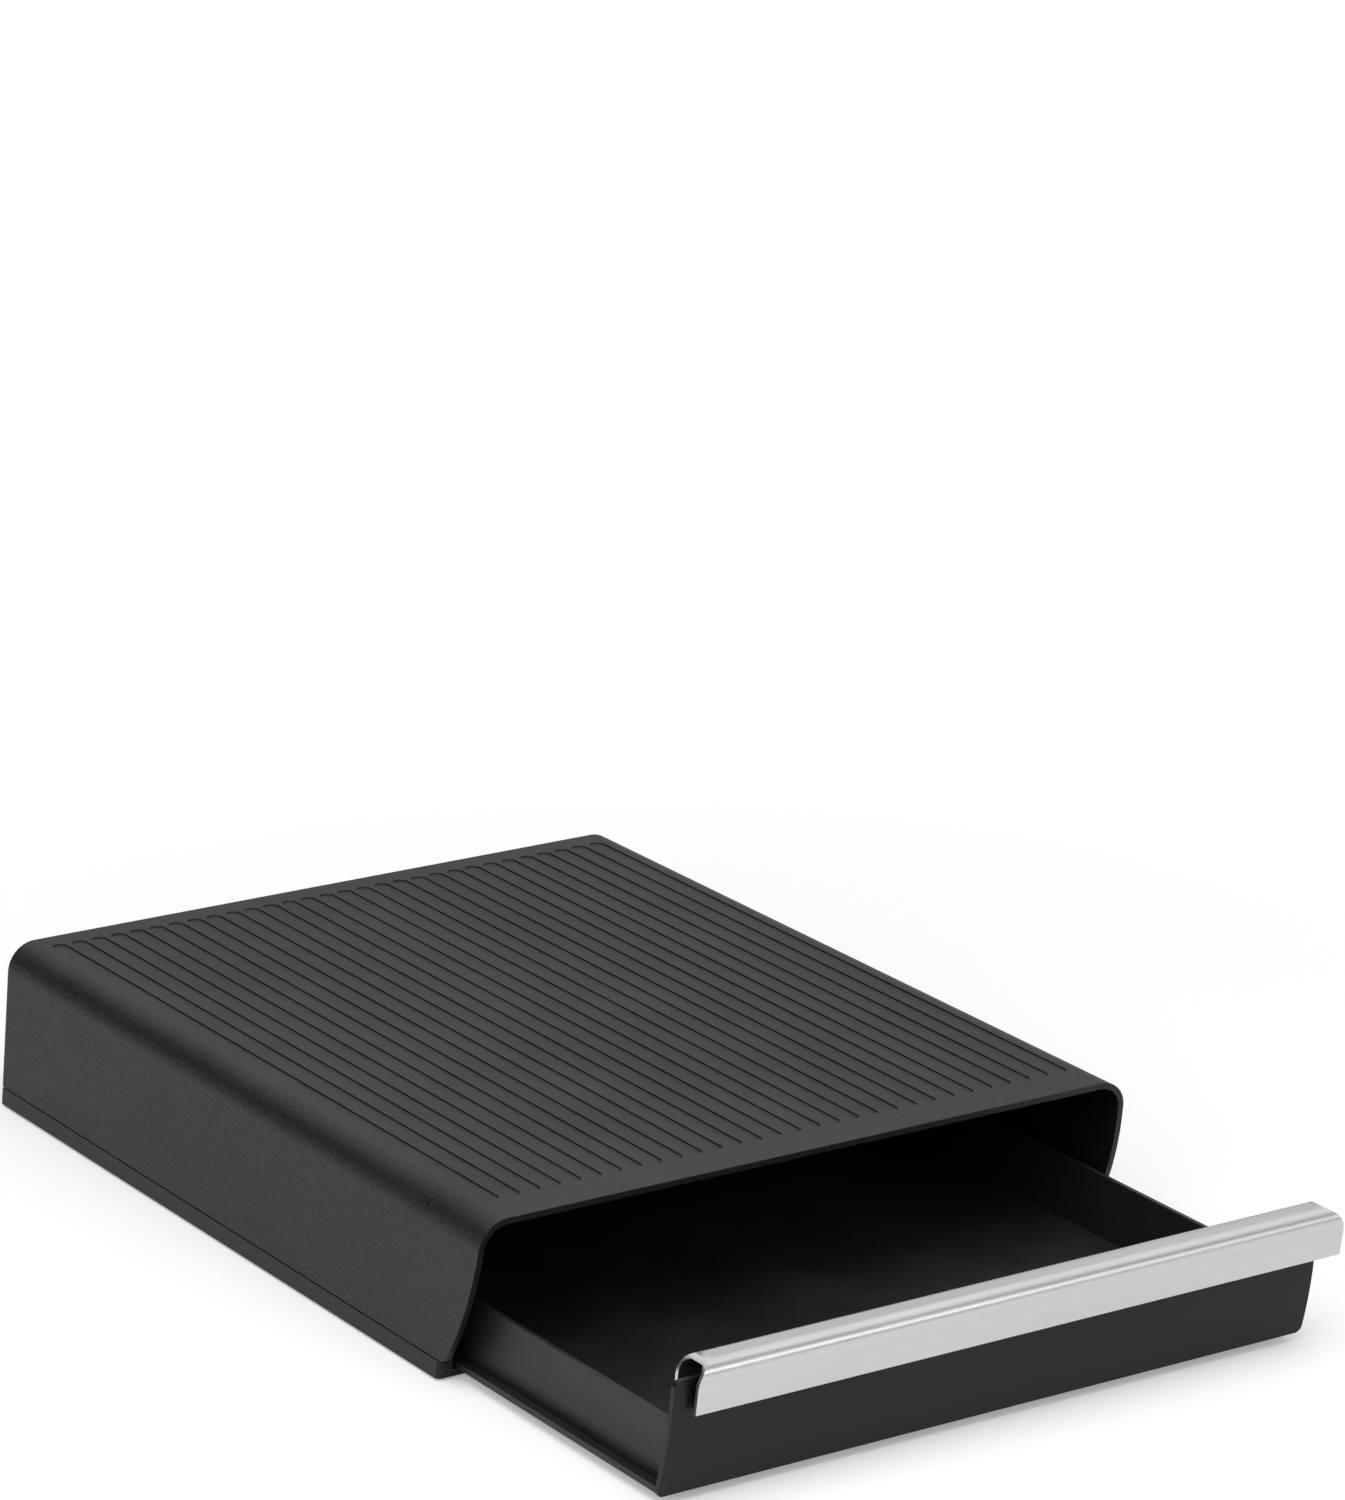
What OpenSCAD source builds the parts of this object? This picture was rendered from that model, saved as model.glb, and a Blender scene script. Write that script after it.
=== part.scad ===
// Coffee pod drawer: a low housing that carries a coffee maker, with a sliding pod tray.
// X runs along the front, Y from the front to the back, Z up. The housing's foot starts at Y = 0.

/* [Housing] */
// Width across the base rails
housing_w = 270; // [240:1:320]
// Depth of the base rails, front to back
housing_d = 299; // [292:1:340]
// Height from the rails' underside to the top face
housing_h = 60.8; // [58:0.1:75]
// Wall of the cover
cover_wall = 2.2; // [2:0.1:3.2]
// Lean of the cover's side walls, in degrees
side_lean = 3.5; // [1:0.5:5]
// Outside radius along the top's long edges
corner_r = 11; // [8:0.5:14]
// How far the top reaches in front of the rails
front_reach = 20; // [12:1:26]
// Radius of the sweep at the side walls' front edges
sweep_r = 112; // [100:1:140]
// Height of the middle of that sweep
sweep_z = 66; // [62:1:72]
// Slope of the side walls' feet in front of the rails, in degrees
foot_slope = 23; // [10:1:35]
// Height of the shadow gap between the side walls and the rails
seam_h = 0.5; // [0.3:0.1:0.8]
// Depth of that gap
seam_depth = 0.8; // [0.5:0.1:1.2]
// Width of the mould mark on the top's front edge
mark_w = 9.4; // [6:0.1:14]
// Depth of the mark
mark_depth = 0.5; // [0.3:0.1:0.8]
// Distance of the mark from the top face
mark_drop = 1.2; // [0.8:0.1:1.6]

/* [Top recesses] */
// Number of long recesses in the top face
recess_n = 30; // [10:2:30]
// Width of one recess
recess_w = 5.9; // [3:0.1:6.3]
// Spacing of the recesses
recess_pitch = 8.03; // [7:0.01:8.1]
// Depth of one recess
recess_depth = 0.5; // [0.3:0.1:0.8]
// Bare border in front of the recesses
recess_front = 15.5; // [8:0.1:30]
// Bare border behind the recesses
recess_back = 8.6; // [6:0.1:30]

/* [Stiffening ribs] */
// Height of the ribs under the top
rib_h = 4; // [2:0.5:6]
// Thickness of those ribs
rib_t = 1.8; // [1.2:0.1:2.4]
// Number of ribs that run across
cross_rib_n = 4; // [2:1:6]
// Number of ribs that run front to back
long_rib_n = 3; // [1:1:5]
// Distance from the rails' front to the first cross rib
cross_rib_front = 50; // [30:1:70]
// Distance from the cover's back to the last cross rib
cross_rib_back = 60; // [30:1:80]
// Distance from the rails' front to the start of the long ribs
long_rib_front = 20; // [10:1:40]
// Distance from the middle to the outer long ribs
long_rib_x = 70; // [50:1:100]

/* [Base rails] */
// Height of a rail's outer strip
rail_h = 6.3; // [6:0.1:8]
// Width of that strip
rail_w = 6; // [6:0.1:7]
// Thickness of the ledge that the drawer runs on
ledge_t = 2.4; // [1.8:0.1:2.6]
// Width of the ledge
ledge_w = 6.5; // [5:0.5:9]
// Rounding of the rails' outer front edges
rail_r = 2; // [0.5:0.5:3]
// Thickness of the shelf inside the side walls, which lies on the rails
shelf_t = 2; // [1.6:0.1:3]
// Distance from the rails' front to the start of the shelf
lip_start = 12; // [6:1:30]
// Overlap of the guide lip and the runner under it
lip_overlap = 2; // [1:0.1:3]

/* [Rubber pads] */
// Width of a pad
pad_w = 9; // [6:0.5:10]
// Length of a pad
pad_l = 24; // [12:1:30]
// Thickness of a pad
pad_t = 1.8; // [1.6:0.1:2.2]
// Depth of the pocket that holds it
pad_pocket = 1; // [0.6:0.1:1.2]
// Distance from the rail's end to the pad's middle
pad_inset = 22; // [18:1:30]

/* [Screws] */
// Thread diameter of the self-tapping screws
screw_d = 2.6; // [2.2:0.1:2.8]
// Height of the thread, which bites into the plastic
thread_h = 0.2; // [0.1:0.05:0.3]
// Head diameter
head_d = 4.4; // [4:0.1:4.6]
// Head height
head_h = 1.6; // [1.2:0.1:2]
// Depth of a rail screw's head below the rail's underside
head_sunk = 0.6; // [0.2:0.1:1]
// Length under the head of a rail screw
rail_screw_l = 12; // [8:0.5:13]
// Length under the head of a panel screw
panel_screw_l = 5; // [4.5:0.5:5.5]
// Number of screws in each rail
rail_screw_n = 3; // [2:1:5]
// Distance from the rail's end to its first screw
rail_screw_inset = 45; // [40:1:60]
// Distance from the panel's middle to its inner and outer screws
panel_screw_xs = [40, 100]; // [20:1:110]
// Length of a screw post, along the rail
post_l = 7; // [5:0.5:10]
// Height of a post above the screw's tip
post_spare = 2; // [1:0.5:3]
// Depth of a pilot hole beyond the tip of a rail screw
pilot_spare = 0.6; // [0.3:0.1:1]
// Depth of a pilot hole beyond the tip of a panel screw
panel_spare = 0.2; // [0.1:0.1:0.4]
// Length of the arms of the cross in a screw's head
cross_l = 2.6; // [2:0.1:3]
// Width of those arms
cross_w = 0.6; // [0.4:0.1:0.8]
// Depth of the cross
cross_depth = 0.7; // [0.4:0.1:1]

/* [Drawer] */
// How far the drawer stands open, from flush with the top's front edge
drawer_open = 112; // [20:1:200]
// Height of the tray's walls above its floor's underside
tray_h = 24.5; // [18:0.5:32]
// Wall of the tray
tray_wall = 1.6; // [1.2:0.1:2.4]
// Floor of the tray
floor_t = 1.8; // [1.2:0.1:2.4]
// Thickness of the runners along the tray's sides
runner_t = 1.5; // [1.2:0.1:1.8]
// Width of a runner, from the tray's wall outwards
runner_w = 4.2; // [3:0.1:4.6]
// Height of the raised edge along a runner
edge_h = 0.8; // [0.4:0.1:0.9]
// Thickness of that edge
edge_t = 0.8; // [0.6:0.1:1.2]
// Radius of the tray's rear corners
tray_r = 8; // [3:0.5:20]
// Height of the stop ears on the tray's rear corners
ear_h = 10; // [6:0.5:14]
// Thickness of those ears
ear_t = 4; // [3:0.5:6]
// Height of the ears' feet above the shelf
ear_up = 2; // [1:0.5:4]
// Distance from the rails' front to the stops that the ears meet
stop_y = 58; // [52:1:80]
// Thickness of the stops
stop_t = 6; // [4:0.5:10]
// Height of the stops above the ears' feet
stop_h = 12; // [8:0.5:16]
// Gap between the stops and the tray's walls
stop_gap = 1.9; // [1:0.1:2.4]

/* [Front panel] */
// Width of the panel at its foot
panel_w = 260; // [200:0.1:320]
// Height of the panel
panel_h = 41.6; // [36:0.1:43]
// Thickness of the panel
panel_t = 1.9; // [1.6:0.1:2.4]
// Radius of the panel's sweep, seen from the side
panel_r = 158; // [150:1:220]
// Height of the middle of that sweep
panel_arc_z = 50; // [45:1:52]
// Lean of the panel's side edges, in degrees
panel_lean = 1.8; // [0:0.1:3]
// Rounding of the panel's corners
panel_corner_r = 2.5; // [1:0.5:4]
// Diameter of the bosses behind the panel
boss_d = 6; // [5:0.5:8]
// Height of the bosses above the tray's underside
boss_h = 11; // [8:0.5:14]

/* [Grip bar] */
// Length of the bar
bar_l = 259.4; // [180:0.1:300]
// How far the bar sits to the right of the panel's middle
bar_shift = 7.3; // [-8:0.1:8]
// Height of the bar's top above the panel's upper edge
bar_over = 5.3; // [4:0.1:7]
// Wall of the bar
bar_t = 1.4; // [1:0.1:1.8]
// Depth of the bar, front to back
bar_depth = 13.4; // [12:0.1:18]
// Height of the bar's front leg and bend
bar_h = 17.2; // [16:0.1:20]
// Height of the bar's rear leg and bend
bar_rear_h = 10.4; // [8:0.1:13]
// Outside radius of the front bend
bar_front_r = 4.5; // [3:0.5:5]
// Outside radius of the rear bend
bar_rear_r = 4; // [3:0.5:5]
// Forward lean of the front leg, in degrees
bar_lean = 8; // [5:1:10]
// Rounding of the bar's upper corners, seen from the front
bar_corner_r = 8; // [2:0.5:9]
// How far the bar stands in front of the panel's face
bar_proud = 4.1; // [3.8:0.1:5]
// Height of the foam strip behind the bar's front leg
foam_h = 7; // [4:0.5:8]
// Height of the foam strip's foot above the bar's
foam_up = 0.8; // [0.5:0.1:2]
// Distance from the ends of the bar and the panel to the foam strip
foam_end = 6; // [4:0.5:12]

/* [Fits] */
// Running gap between a runner and the ledge under it
run_gap = 0.3; // [0.2:0.05:0.5]
// Side play between a runner and the rail
side_gap = 1.2; // [0.5:0.1:1.5]
// Gap between the cover's guide lip and the runner under it
lip_gap = 0.6; // [0.4:0.1:1]
// Gap behind the tray when the drawer is shut
back_gap = 0.5; // [0.3:0.1:2]
// Gap between pieces that are fastened together
fit_gap = 0.1; // [0.05:0.05:0.2]
// Play round a screw in its clearance hole
screw_play = 0.3; // [0.2:0.1:0.5]

/* [Hidden] */
$fn = 48;

plastic = "#2f2e30";
satin_metal = "#c6c6c9";
rubber = "#1c1c1c";
steel = "#9a9a9a";
foam = "#3a3a3a";

// Side walls and rails, as distances from the middle
half_w = housing_w / 2;
pad_proud = pad_t - pad_pocket;
inner_back_y = housing_d - cover_wall;
strip_in = half_w - rail_w;
ledge_in = strip_in - ledge_w;

// Runners of the tray, and the lip inside the cover that locates it on the rails and keeps them down
runner_out = strip_in - side_gap;
tray_out = runner_out - runner_w;
tray_z = ledge_t + run_gap;
shelf_z = rail_h + shelf_t;
lip_out = strip_in - 2 * fit_gap;
lip_in = runner_out - lip_overlap;
lip_z = tray_z + runner_t + edge_h + lip_gap;

// Screws from below through the rails into posts in the cover
core_d = screw_d - 2 * thread_h;
pilot_d = core_d + fit_gap;
post_in = lip_out - 2 * fit_gap;
screw_x = (half_w + post_in) / 2;
rail_seat_z = head_sunk + head_h;
rail_tip_z = rail_seat_z + rail_screw_l;
post_top_z = rail_tip_z + post_spare;

// Ears on the tray, which pass the posts, and the stops that they meet
ear_out = post_in - lip_gap;
ear_z = shelf_z + ear_up;
stop_in = tray_out + stop_gap;

// Middle of the side walls' sweep, which ends at the top's front edge
cover_front_y = -front_reach;
sweep_y = cover_front_y + sqrt(pow(sweep_r, 2) - pow(sweep_z - housing_h, 2));

// The drawer's places along Y
bar_front_y = cover_front_y - drawer_open;
face_y = bar_front_y + bar_proud;
arc_y = face_y + panel_r;
tray_front_y = back_face_y(tray_z) + fit_gap;
tray_back_y = inner_back_y - back_gap - drawer_open;
boss_z = tray_z + boss_h;
boss_xs = [for (side = [-1, 1], x = panel_screw_xs) side * x];

// The bar's section: two bends with a straight top between them
bar_top_z = tray_z + panel_h + bar_over;
front_bend = [bar_front_y + bar_front_r, bar_top_z - bar_front_r];
rear_bend = [bar_front_y + bar_depth - bar_rear_r, bar_top_z - bar_rear_r];
front_foot_z = bar_top_z - bar_h;
rear_foot_z = bar_top_z - bar_rear_h;

// Middle of the whole object's box, where the origin stands
box_left = min(-half_w, bar_shift - bar_l / 2);
box_right = max(half_w, bar_shift + bar_l / 2);
origin_x = (box_left + box_right) / 2;
origin_y = (bar_front_y + housing_d) / 2;

// Overlap of joined forms, and how far a cut reaches past a face
eps = 0.01;
over = 1;

// Y of the panel's rear face at height z
function back_face_y(z) = arc_y - sqrt(pow(panel_r - panel_t, 2) - pow(panel_arc_z - z, 2));

// Points of an arc between two directions, in degrees
function arc(centre, r, from, to, steps = 20) = [
    for (i = [0 : steps]) let (a = from + (to - from) * i / steps) centre + r * [cos(a), sin(a)]
];

// Y of the bar's front leg at height z, at a depth of inset below its outer face
function front_leg_y(z, inset) = front_bend[0] - (bar_front_r - inset) / cos(bar_lean)
    - (z - front_bend[1]) * tan(bar_lean);

// Middle of a corner's rounding at height z above the panel's foot
function panel_corner(z) = [
    panel_w / 2 - z * tan(panel_lean) - panel_corner_r / cos(panel_lean), z
];

// Places of n things spread evenly over a length, with a margin at both ends
function spread(n, from, to) = n == 1 ? [(from + to) / 2]
    : [for (i = [0 : n - 1]) from + (to - from) * i / (n - 1)];

rail_screw_ys = spread(rail_screw_n, rail_screw_inset, housing_d - rail_screw_inset);

// ---- helpers ----

module at_origin() {
    translate([-origin_x, -origin_y, pad_proud]) children();
}

// A shape drawn in X and Z, extruded along Y
module along_y(from, to) {
    translate([0, to, 0]) rotate([90, 0, 0]) linear_extrude(to - from) children();
}

// A shape drawn in Y and Z, extruded along X
module along_x(from, to) {
    translate([from, 0, 0]) rotate([90, 0, 90]) linear_extrude(to - from) children();
}

module box(from, to) {
    translate(from) cube(to - from);
}

module both_sides() {
    children();
    mirror([1, 0, 0]) children();
}

// ---- housing ----

// Cross-section of the cover's skin, drawn inwards from the outside by inset
module cover_section(inset, z_low) {
    r = corner_r - inset;
    // The bend's centre lies corner_r inside both the leaning side and the top
    c_z = housing_h - corner_r;
    c = [half_w - c_z * tan(side_lean) - corner_r / cos(side_lean), c_z];
    foot = half_w - z_low * tan(side_lean) - inset / cos(side_lean);
    tangent = c + r * [cos(side_lean), sin(side_lean)];
    top = c + [0, r];
    polygon([
        [-foot, z_low], [foot, z_low], tangent, top,
        [-top[0], top[1]], [-tangent[0], tangent[1]]
    ]);
    for (side = [-1, 1])
        translate([side * c[0], c[1]]) circle(r, $fn = 96);
}

// Side view of the cover: the top reaches forward and the side walls sweep back below it
module cover_side_view() {
    top_z = housing_h + over;
    ahead = front_reach + over;
    rise = tan(foot_slope);
    difference() {
        polygon([
            [housing_d, 0], [housing_d, top_z],
            each arc([sweep_y, sweep_z], sweep_r, 180 + asin((sweep_z - top_z) / sweep_r),
                180 + asin(sweep_z / sweep_r), 32)
        ]);
        // In front of the rails the side walls' feet rise
        polygon([
            [over, rail_h - over * rise], [-ahead, rail_h + ahead * rise], [-ahead, -over], [over, -over]
        ]);
    }
}

// Narrow gap along the foot of a side wall, seen from outside as a dark line
module seam_gap() {
    outside = half_w - rail_h * tan(side_lean);
    box([outside - seam_depth, cover_front_y - over, rail_h - over],
        [half_w + over, housing_d + over, rail_h + seam_h]);
}

module top_recesses() {
    first = -recess_pitch * (recess_n - 1) / 2;
    r = recess_w / 2;
    y0 = cover_front_y + recess_front + r;
    y1 = housing_d - recess_back - r;
    translate([0, 0, housing_h - recess_depth])
        linear_extrude(recess_depth + over)
            for (i = [0 : recess_n - 1])
                translate([first + i * recess_pitch, 0]) {
                    translate([-r, y0]) square([recess_w, y1 - y0]);
                    translate([0, y0]) circle(r);
                    translate([0, y1]) circle(r);
                }
}

module under_ribs() {
    z = housing_h - cover_wall - rib_h;
    reach = half_w - corner_r;
    for (y = spread(cross_rib_n, cross_rib_front, housing_d - cross_rib_back))
        box([-reach, y, z], [reach, y + rib_t, housing_h - cover_wall + eps]);
    for (x = spread(long_rib_n, -long_rib_x, long_rib_x))
        box([x - rib_t / 2, long_rib_front, z],
            [x + rib_t / 2, inner_back_y + eps, housing_h - cover_wall + eps]);
}

// Shelf and lip that run along the foot of a side wall, inside
module guide_lip() {
    along_y(lip_start, inner_back_y + eps)
        polygon([
            [lip_out, lip_z], [lip_out, rail_h], [half_w, rail_h],
            [half_w, rail_h + shelf_t], [lip_in, rail_h + shelf_t], [lip_in, lip_z]
        ]);
}

module screw_posts() {
    for (y = rail_screw_ys)
        box([post_in, y - post_l / 2, rail_h], [half_w, y + post_l / 2, post_top_z]);
}

module pilot_holes() {
    for (y = rail_screw_ys)
        translate([screw_x, y, rail_h - over])
            cylinder(h = rail_tip_z + pilot_spare - rail_h + over, d = pilot_d);
}

module ear_stop() {
    box([stop_in, stop_y, shelf_z - eps], [half_w, stop_y + stop_t, ear_z + stop_h]);
}

module top_cover() {
    color(plastic) at_origin() difference() {
        union() {
            difference() {
                intersection() {
                    along_y(cover_front_y - over, housing_d) cover_section(0, 0);
                    along_x(-half_w, half_w) cover_side_view();
                }
                along_y(cover_front_y - over, inner_back_y) cover_section(cover_wall, -over);
            }
            intersection() {
                along_y(cover_front_y, housing_d) cover_section(0, 0);
                union() {
                    under_ribs();
                    both_sides() {
                        guide_lip();
                        screw_posts();
                        ear_stop();
                    }
                }
            }
        }
        // The rails stand under the side walls, and the back wall reaches down between them
        both_sides()
            box([ledge_in - 2 * fit_gap, cover_front_y - over, -over],
                [half_w + over, housing_d + over, lip_z]);
        both_sides()
            box([lip_out, cover_front_y - over, -over], [half_w + over, housing_d + over, rail_h]);
        both_sides() seam_gap();
        top_recesses();
        front_mark();
        both_sides() pilot_holes();
    }
}

// Shallow mould mark in the middle of the top's front edge
module front_mark() {
    box([-mark_w / 2, cover_front_y - over, housing_h - cover_wall - over],
        [mark_w / 2, cover_front_y + mark_depth, housing_h - mark_drop]);
}

module rail_plan() {
    translate([ledge_in, 0]) square([half_w - ledge_in - rail_r, housing_d]);
    translate([half_w - rail_r - eps, rail_r]) square([rail_r + eps, housing_d - rail_r]);
    translate([half_w - rail_r, rail_r]) circle(rail_r);
}

module rail() {
    lean = rail_h * tan(side_lean);
    difference() {
        intersection() {
            along_y(0, housing_d)
                polygon([
                    [ledge_in, 0], [half_w, 0], [half_w - lean, rail_h],
                    [strip_in, rail_h], [strip_in, ledge_t], [ledge_in, ledge_t]
                ]);
            linear_extrude(rail_h) rail_plan();
        }
        for (y = [pad_inset, housing_d - pad_inset])
            pad_block(y, fit_gap);
        for (y = rail_screw_ys)
            translate([screw_x, y, -over]) {
                cylinder(h = rail_h + 2 * over, d = screw_d + screw_play);
                cylinder(h = rail_seat_z + over, d = head_d + screw_play);
            }
    }
}

module rail_right() {
    color(plastic) at_origin() rail();
}

module rail_left() {
    color(plastic) at_origin() mirror([1, 0, 0]) rail();
}

// One pad, or its pocket when the sides are grown by a play
module pad_block(y, play) {
    x = half_w - (rail_w + ledge_w) / 2;
    box([x - pad_w / 2 - play, y - pad_l / 2 - play, pad_pocket - pad_t],
        [x + pad_w / 2 + play, y + pad_l / 2 + play, pad_pocket]);
}

module pad_front_right() {
    color(rubber) at_origin() pad_block(pad_inset, 0);
}

module pad_front_left() {
    color(rubber) at_origin() mirror([1, 0, 0]) pad_block(pad_inset, 0);
}

module pad_rear_right() {
    color(rubber) at_origin() pad_block(housing_d - pad_inset, 0);
}

module pad_rear_left() {
    color(rubber) at_origin() mirror([1, 0, 0]) pad_block(housing_d - pad_inset, 0);
}

// A pan-head screw that points up, with the underside of its head at the origin and a cross in the head
module screw(length) {
    cylinder(h = length, d = core_d);
    translate([0, 0, -head_h]) difference() {
        cylinder(h = head_h, d = head_d);
        for (turn = [0, 90])
            rotate([0, 0, turn])
                box([-cross_l / 2, -cross_w / 2, -over], [cross_l / 2, cross_w / 2, cross_depth]);
    }
}

module rail_screws() {
    color(steel) at_origin() both_sides()
        for (y = rail_screw_ys)
            translate([screw_x, y, rail_seat_z]) screw(rail_screw_l);
}

// ---- drawer ----

// Everything in front of the panel's rear face, cut off the tray's side walls
module panel_space() {
    along_x(-half_w, half_w) difference() {
        translate([face_y - over, -over]) square([panel_r, tray_z + tray_h + 2 * over]);
        translate([arc_y, panel_arc_z]) circle(panel_r - panel_t - fit_gap, $fn = 360);
    }
}

// Plan of the tray with its rear corners rounded, drawn inwards by inset
module tray_plan(inset) {
    w = tray_out - inset;
    r = tray_r - inset;
    y0 = tray_front_y + inset;
    y1 = tray_back_y - inset;
    translate([-w, y0]) square([2 * w, y1 - y0 - r]);
    translate([-w + r, y0]) square([2 * (w - r), y1 - y0]);
    for (side = [-1, 1])
        translate([side * (w - r), y1 - r]) circle(r);
}

// Runners with a raised outer edge, which keeps them stiff
module runners() {
    runner_end = tray_back_y - tray_r;
    both_sides() {
        box([tray_out - tray_wall, tray_front_y, tray_z], [runner_out, runner_end, tray_z + runner_t]);
        box([runner_out - edge_t, tray_front_y, tray_z],
            [runner_out, runner_end, tray_z + runner_t + edge_h]);
    }
}

// Ears near the rear corners, which meet the stops in the cover when the drawer is fully open
module stop_ears() {
    both_sides()
        box([tray_out - tray_wall / 2, tray_back_y - tray_r - ear_t, ear_z],
            [ear_out, tray_back_y - tray_r, ear_z + ear_h]);
}

module tray() {
    wing_y = back_face_y(tray_z + tray_h);
    color(plastic) at_origin() difference() {
        union() {
            difference() {
                translate([0, 0, tray_z]) linear_extrude(tray_h) tray_plan(0);
                translate([0, 0, tray_z + floor_t]) linear_extrude(tray_h) tray_plan(tray_wall);
            }
            both_sides()
                box([tray_out - tray_wall, wing_y - over, tray_z],
                    [tray_out, tray_front_y + tray_wall, tray_z + tray_h]);
            stop_ears();
            runners();
        }
        panel_space();
        for (x = boss_xs)
            translate([x, tray_front_y - over, boss_z])
                rotate([-90, 0, 0]) cylinder(h = tray_wall + 2 * over, d = screw_d + screw_play);
    }
}

// The panel seen from the front: leaning sides and rounded corners
module panel_outline() {
    r = panel_corner_r;
    low = panel_corner(r);
    high = panel_corner(panel_h - r);
    right = concat(arc(low, r, -90, panel_lean, 8), arc(high, r, panel_lean, 90, 8));
    last = len(right) - 1;
    translate([0, tray_z])
        polygon([each right, for (i = [last : -1 : 0]) [-right[i][0], right[i][1]]]);
}

module front_panel() {
    color(plastic) at_origin() difference() {
        union() {
            intersection() {
                along_y(face_y - over, tray_front_y) panel_outline();
                along_x(-half_w, half_w) difference() {
                    translate([arc_y, panel_arc_z]) circle(panel_r, $fn = 360);
                    translate([arc_y, panel_arc_z]) circle(panel_r - panel_t, $fn = 360);
                }
            }
            intersection() {
                for (x = boss_xs)
                    translate([x, face_y, boss_z]) rotate([-90, 0, 0])
                        cylinder(h = tray_front_y - face_y, d = boss_d);
                along_x(-half_w, half_w)
                    translate([arc_y, panel_arc_z]) circle(panel_r - panel_t / 2, $fn = 360);
            }
        }
        for (x = boss_xs)
            translate([x, tray_front_y + tray_wall - panel_screw_l - panel_spare, boss_z])
                rotate([-90, 0, 0]) cylinder(h = panel_screw_l + over, d = pilot_d);
    }
}

module panel_screws() {
    color(steel) at_origin()
        for (x = boss_xs)
            translate([x, tray_front_y + tray_wall, boss_z]) rotate([90, 0, 0]) screw(panel_screw_l);
}

// Filled side view of the bar, drawn inwards by inset and reaching below both legs
module hood(inset) {
    low = front_foot_z - over;
    polygon([
        [front_leg_y(low, inset), low],
        each arc(front_bend, bar_front_r - inset, 180 + bar_lean, 90),
        each arc(rear_bend, bar_rear_r - inset, 90, 0),
        [rear_bend[0] + bar_rear_r - inset, low]
    ]);
}

module bar_section() {
    middle_y = (front_bend[0] + rear_bend[0]) / 2;
    difference() {
        hood(0);
        hood(bar_t);
        translate([bar_front_y, front_foot_z - 2 * over]) square([bar_depth, 2 * over]);
        translate([middle_y, front_foot_z - 2 * over])
            square([bar_depth, rear_foot_z - front_foot_z + 2 * over]);
    }
}

// The bar seen from the front: square at its foot, with rounded upper corners
module bar_outline() {
    w = bar_l / 2;
    r = bar_corner_r;
    foot = front_foot_z - over;
    translate([-w, foot]) square([bar_l, bar_top_z - r - foot]);
    translate([-w + r, foot]) square([bar_l - 2 * r, bar_top_z - foot]);
    for (side = [-1, 1])
        translate([side * (w - r), bar_top_z - r]) circle(r);
}

module grip_bar() {
    color(satin_metal) at_origin() translate([bar_shift, 0, 0]) intersection() {
        along_x(-bar_l / 2, bar_l / 2) bar_section();
        along_y(bar_front_y - over, bar_front_y + bar_depth + over) bar_outline();
    }
}

// Foam strip squeezed between the panel's face and the bar's front leg
module bar_foam() {
    z0 = front_foot_z + foam_up;
    z1 = z0 + foam_h;
    inset = bar_t + fit_gap / 2;
    x0 = max(bar_shift - bar_l / 2, -panel_w / 2) + foam_end;
    x1 = min(bar_shift + bar_l / 2, panel_w / 2) - foam_end;
    color(foam) at_origin()
        along_x(x0, x1) difference() {
            polygon([
                [front_leg_y(z0, inset), z0], [front_leg_y(z1, inset), z1],
                [face_y + panel_t, z1], [face_y + panel_t, z0]
            ]);
            translate([arc_y, panel_arc_z]) circle(panel_r + fit_gap / 2, $fn = 360);
        }
}

top_cover();
rail_left();
rail_right();
rail_screws();
pad_front_left();
pad_front_right();
pad_rear_left();
pad_rear_right();
tray();
front_panel();
panel_screws();
grip_bar();
bar_foam();
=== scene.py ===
"""Coffee pod drawer: softened edges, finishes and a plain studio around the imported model."""

import math

import bmesh
import bpy
from mathutils import Matrix, Vector

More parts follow.
